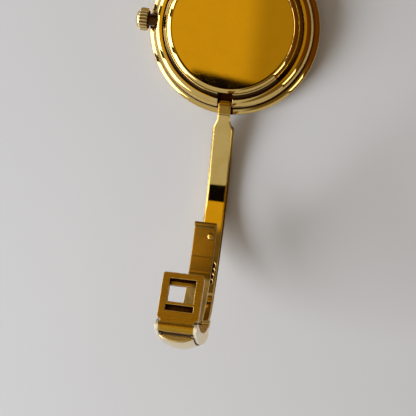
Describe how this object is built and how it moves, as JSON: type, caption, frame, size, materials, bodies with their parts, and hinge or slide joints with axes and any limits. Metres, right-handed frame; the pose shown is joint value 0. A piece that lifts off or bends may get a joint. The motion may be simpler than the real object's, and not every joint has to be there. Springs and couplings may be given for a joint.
{
  "type": "bangle watch",
  "caption": "Small round quartz wristwatch on a rigid hinged bangle with domed arms, a folding catch frame, a hook lever and a lock leaf for its size.",
  "frame": {"origin": "centre of the crystal's flat outer face, on the case axis", "axes": "+Z through the case from dial to back, -Y along the six o'clock arm, -X towards the crown"},
  "size_m": [0.0281, 0.0932, 0.0399],
  "materials": {
    "gold_plate": "polished",
    "crystal_glass": "clear",
    "gasket_rubber": "matt",
    "pin_steel": "satin",
    "dial_enamel": "satin",
    "ring_plastic": "matt",
    "plate_brass": "satin",
    "cell_steel": "satin",
    "board_laminate": "gloss",
    "chip_resin": "matt",
    "core_iron": "satin",
    "coil_copper": "enamelled"
  },
  "bodies": {
    "case": {"bezel_ring": "gold_plate", "case_middle": "gold_plate", "case_back": "gold_plate", "crown_tube": "gold_plate", "hour_markers": "gold_plate", "crystal": "crystal_glass", "crystal_gasket": "gasket_rubber", "back_gasket": "gasket_rubber", "hinge_bar_lower": "pin_steel", "hinge_bar_upper": "pin_steel", "lever_post": "pin_steel", "yoke": "pin_steel", "bridge_screws": "pin_steel", "battery_strap": "pin_steel", "dial": "dial_enamel", "holder_ring": "ring_plastic", "main_plate": "plate_brass", "train_bridge": "plate_brass", "battery": "cell_steel", "quartz_can": "cell_steel", "circuit_board": "board_laminate", "control_chip": "chip_resin", "coil_core": "core_iron", "stator": "core_iron", "coil_winding": "coil_copper"},
    "lower_arm": {"lower_arm_liner": "gold_plate", "lower_arm_shell": "gold_plate"},
    "upper_arm": {"upper_arm_liner": "gold_plate", "upper_arm_shell": "gold_plate", "hook_end_piece": "gold_plate", "hook_pin": "pin_steel"},
    "clasp_carriage": {"clasp_carriage": "gold_plate", "leaf_pin": "pin_steel", "frame_pin": "pin_steel"},
    "lock_leaf": {"lock_leaf": "gold_plate", "detent_rivet": "gold_plate"},
    "catch_frame": {"catch_frame": "gold_plate"},
    "hook_lever": {"hook_lever": "gold_plate"},
    "crown_seal": {"crown_seal": "gasket_rubber"},
    "crown": {"crown": "gold_plate", "stem": "pin_steel"},
    "clutch_pinion": {"clutch_pinion": "pin_steel"},
    "setting_lever": {"setting_lever": "pin_steel"},
    "minute_work": {"centre_wheel": "plate_brass", "cannon_pinion": "plate_brass", "minute_hand": "gold_plate"},
    "hour_work": {"hour_wheel": "plate_brass", "hour_hand": "gold_plate"},
    "minute_wheel": {"minute_wheel": "plate_brass"},
    "setting_wheel": {"setting_wheel": "plate_brass"},
    "third_wheel": {"third_wheel": "plate_brass"},
    "intermediate_wheel": {"intermediate_wheel": "plate_brass"},
    "rotor": {"rotor": "core_iron"}
  },
  "joints": [
    {"name": "lower_arm_hinge", "type": "hinge", "parent": "case", "child": "lower_arm", "pos_m": [0, -0.0116, 0.00375], "axis": [-1, 0, 0], "range_deg": [0, 55]},
    {"name": "upper_arm_hinge", "type": "hinge", "parent": "case", "child": "upper_arm", "pos_m": [0, 0.0116, 0.00375], "axis": [1, 0, 0], "range_deg": [0, 55]},
    {"name": "size_slide", "type": "hinge", "parent": "lower_arm", "child": "clasp_carriage", "pos_m": [0, -0.0253, 0.02145], "axis": [1, 0, 0], "range_deg": [-8.6, 0]},
    {"name": "leaf_lift", "type": "hinge", "parent": "clasp_carriage", "child": "lock_leaf", "pos_m": [0, -0.04346, 0.01658], "axis": [-1, 0, 0], "range_deg": [-30, 30]},
    {"name": "frame_fold", "type": "hinge", "parent": "clasp_carriage", "child": "catch_frame", "pos_m": [0, -0.04261, 0.03065], "axis": [1, 0, 0], "range_deg": [-20, 75]},
    {"name": "hook_fold", "type": "hinge", "parent": "upper_arm", "child": "hook_lever", "pos_m": [0, 0.04349, 0.03112], "axis": [1, 0, 0], "range_deg": [-100, 0]},
    {"name": "crown_pull", "type": "slide", "parent": "case", "child": "crown_seal", "axis": [-1, 0, 0], "range_m": [0, 0.0006]},
    {"name": "crown_turn", "type": "hinge", "parent": "crown_seal", "child": "crown", "pos_m": [-0.013, 0, 0.00372], "axis": [-1, 0, 0], "continuous": true},
    {"name": "clutch_turn", "type": "hinge", "parent": "case", "child": "clutch_pinion", "pos_m": [-0.0041, 0, 0.00372], "axis": [-1, 0, 0], "continuous": true},
    {"name": "setting_lever_turn", "type": "hinge", "parent": "case", "child": "setting_lever", "pos_m": [-0.0058, 0.0023, 0.0042], "axis": [0, 0, -1], "range_deg": [0, 15.5]},
    {"name": "minute_turn", "type": "hinge", "parent": "case", "child": "minute_work", "pos_m": [0, 0, 0.0035], "axis": [0, 0, 1], "continuous": true},
    {"name": "hour_turn", "type": "hinge", "parent": "case", "child": "hour_work", "pos_m": [0, 0, 0.0024], "axis": [0, 0, 1], "continuous": true},
    {"name": "minute_wheel_turn", "type": "hinge", "parent": "case", "child": "minute_wheel", "pos_m": [-0.00153, 0.00129, 0.0035], "axis": [0, 0, 1], "continuous": true},
    {"name": "setting_wheel_turn", "type": "hinge", "parent": "case", "child": "setting_wheel", "pos_m": [-0.0034, 0.00033, 0.0035], "axis": [0, 0, 1], "continuous": true},
    {"name": "third_wheel_turn", "type": "hinge", "parent": "case", "child": "third_wheel", "pos_m": [-0.00058, -0.00191, 0.0035], "axis": [0, 0, 1], "continuous": true},
    {"name": "intermediate_wheel_turn", "type": "hinge", "parent": "case", "child": "intermediate_wheel", "pos_m": [0.00146, -0.0024, 0.0035], "axis": [0, 0, 1], "continuous": true},
    {"name": "rotor_turn", "type": "hinge", "parent": "case", "child": "rotor", "pos_m": [0.00354, -0.00211, 0.0035], "axis": [0, 0, 1], "continuous": true}
  ],
  "couplings": [
    {"joint": "clutch_turn", "follows": "crown_turn", "ratio": 1},
    {"joint": "setting_lever_turn", "follows": "crown_pull", "rad_per_m": 432.34},
    {"joint": "hour_turn", "follows": "minute_turn", "ratio": 0.083333},
    {"joint": "minute_wheel_turn", "follows": "minute_turn", "ratio": -0.33333},
    {"joint": "setting_wheel_turn", "follows": "minute_turn", "ratio": 0.83333},
    {"joint": "third_wheel_turn", "follows": "minute_turn", "ratio": -4},
    {"joint": "intermediate_wheel_turn", "follows": "minute_turn", "ratio": 24},
    {"joint": "rotor_turn", "follows": "minute_turn", "ratio": -144}
  ]
}
